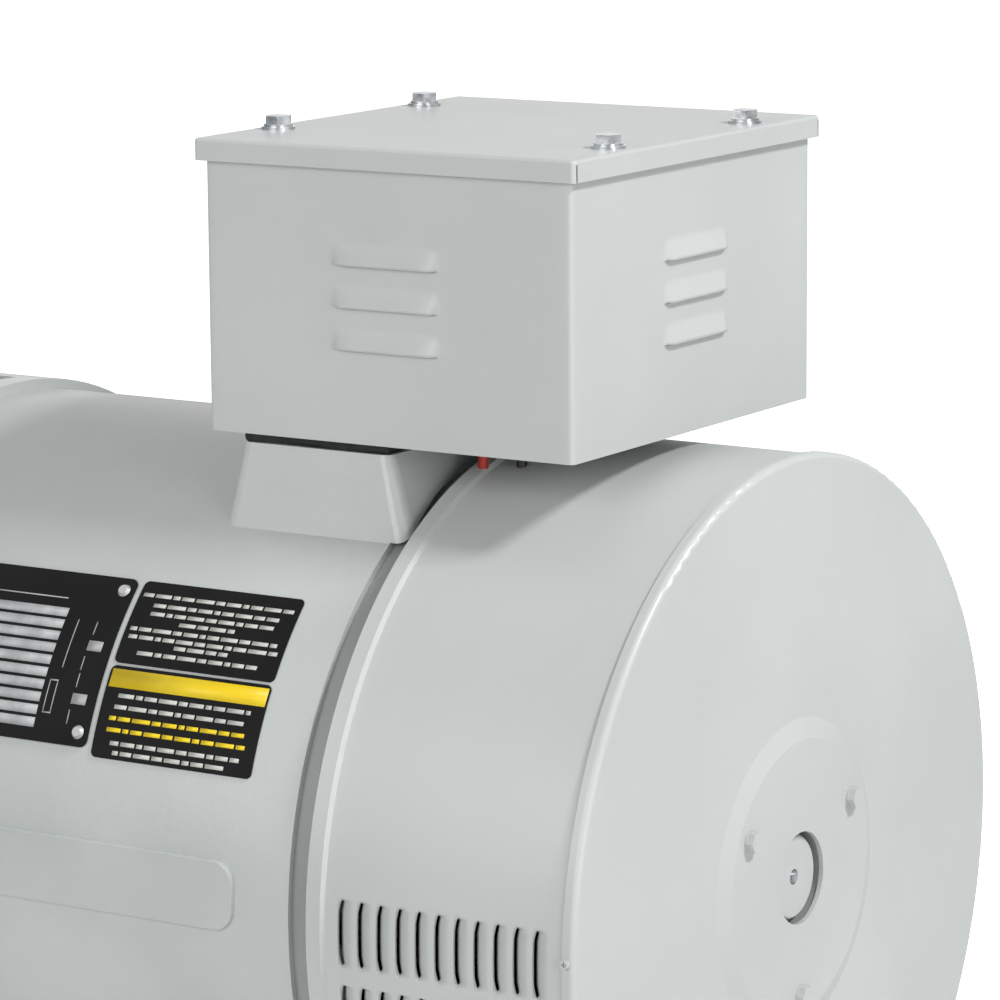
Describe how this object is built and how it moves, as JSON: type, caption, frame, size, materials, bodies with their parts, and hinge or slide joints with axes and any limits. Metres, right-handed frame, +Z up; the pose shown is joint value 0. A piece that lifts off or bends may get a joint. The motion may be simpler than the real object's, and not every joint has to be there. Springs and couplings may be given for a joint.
{
  "type": "generator alternator head",
  "caption": "Foot-mounted brushed generator head with a terminal box on top, a louvred rear drum over its slip rings, and a keyed drive shaft.",
  "frame": {"origin": "centre of the foot bolt pattern, on the plane the feet stand on", "axes": "+X along the shaft from the drive end to the rear drum, +Z up, shaft 180 mm above the origin"},
  "size_m": [0.6146, 0.3538, 0.4892],
  "materials": {
    "painted_casting": "light grey enamel over sand-cast iron",
    "laminated_steel": "stacked electrical steel sheet, varnished",
    "varnished_copper": "enamelled copper wire under amber varnish",
    "machined_steel": "turned and ground steel",
    "bearing_steel": "ground and polished bearing steel",
    "cast_aluminium": "bare cast aluminium",
    "moulded_insulation": "compression-moulded thermoset",
    "ring_brass": "turned brass",
    "carbon": "pressed carbon",
    "spring_steel": "drawn spring wire",
    "zinc_plated_steel": "bright zinc plate over pressed steel",
    "painted_sheet": "light grey paint over folded sheet steel",
    "black_rubber": "matt black rubber",
    "potted_resin": "black case filled with casting resin",
    "gland_plastic": "moulded black polyamide",
    "anodised_plate": "aluminium sheet with a black anodised ground",
    "printed_film": "printed self-adhesive film",
    "red_sleeve": "red silicone sleeve",
    "black_sleeve": "black silicone sleeve"
  },
  "bodies": {
    "frame": {"stator_frame": "painted_casting", "drive_end_bell": "painted_casting", "rear_bracket": "painted_casting", "drive_bearing_cap": "painted_casting", "stator_core": "laminated_steel", "stator_winding": "varnished_copper", "drive_bearing_outer_race": "bearing_steel", "rear_bearing_outer_race": "bearing_steel", "regulator_base": "cast_aluminium", "brush_holder": "moulded_insulation", "terminal_board": "moulded_insulation", "link_bars": "ring_brass", "terminal_studs": "ring_brass", "terminal_nuts": "ring_brass", "brush_spring_1": "spring_steel", "brush_spring_2": "spring_steel", "bell_bolts": "zinc_plated_steel", "cap_bolts": "zinc_plated_steel", "bracket_screws": "zinc_plated_steel", "cover_bolts": "zinc_plated_steel", "rim_screws": "zinc_plated_steel", "holder_screws": "zinc_plated_steel", "lid_bolts": "zinc_plated_steel", "lid_washers": "zinc_plated_steel", "box_floor_screws": "zinc_plated_steel", "board_posts": "zinc_plated_steel", "earth_screw": "zinc_plated_steel", "rear_drum": "painted_sheet", "rear_end_cover": "painted_sheet", "terminal_box": "painted_sheet", "box_lid": "painted_sheet", "shaft_seal": "black_rubber", "lid_gasket": "black_rubber", "pedestal_gasket": "black_rubber", "lead_grommets": "black_rubber", "regulator_case": "potted_resin", "gland_bodies": "gland_plastic", "gland_caps": "gland_plastic", "gland_nuts": "gland_plastic", "rating_plate": "anodised_plate", "plate_rivets": "anodised_plate", "upper_label": "printed_film", "lower_label": "printed_film", "field_lead_red": "red_sleeve", "field_lead_black": "black_sleeve"},
    "rotor": {"rotor_shaft": "machined_steel", "rotor_core": "laminated_steel", "field_coils": "varnished_copper", "cooling_fan": "cast_aluminium", "slip_ring_hub": "moulded_insulation", "slip_rings": "ring_brass", "drive_bearing_inner_race": "bearing_steel", "rear_bearing_inner_race": "bearing_steel"},
    "drive_ball_set": {"drive_bearing_balls": "bearing_steel"},
    "rear_ball_set": {"rear_bearing_balls": "bearing_steel"},
    "brush_1": {"brush_1": "carbon"},
    "brush_2": {"brush_2": "carbon"}
  },
  "joints": [
    {"name": "rotor_spin", "type": "hinge", "parent": "frame", "child": "rotor", "pos_m": [0, 0, 0.18], "axis": [1, 0, 0], "continuous": true},
    {"name": "drive_balls_roll", "type": "hinge", "parent": "frame", "child": "drive_ball_set", "pos_m": [0, 0, 0.18], "axis": [1, 0, 0], "continuous": true},
    {"name": "rear_balls_roll", "type": "hinge", "parent": "frame", "child": "rear_ball_set", "pos_m": [0, 0, 0.18], "axis": [1, 0, 0], "continuous": true},
    {"name": "brush_1_slide", "type": "slide", "parent": "frame", "child": "brush_1", "axis": [0, 0, 1], "range_m": [0, 0.008], "stiffness_N_per_m": 250, "springref_m": -0.012, "deforming": ["brush_spring_1"]},
    {"name": "brush_2_slide", "type": "slide", "parent": "frame", "child": "brush_2", "axis": [0, 0, 1], "range_m": [0, 0.008], "stiffness_N_per_m": 250, "springref_m": -0.012, "deforming": ["brush_spring_2"]}
  ],
  "couplings": [
    {"joint": "drive_balls_roll", "follows": "rotor_spin", "ratio": 0.3828},
    {"joint": "rear_balls_roll", "follows": "rotor_spin", "ratio": 0.3862}
  ]
}
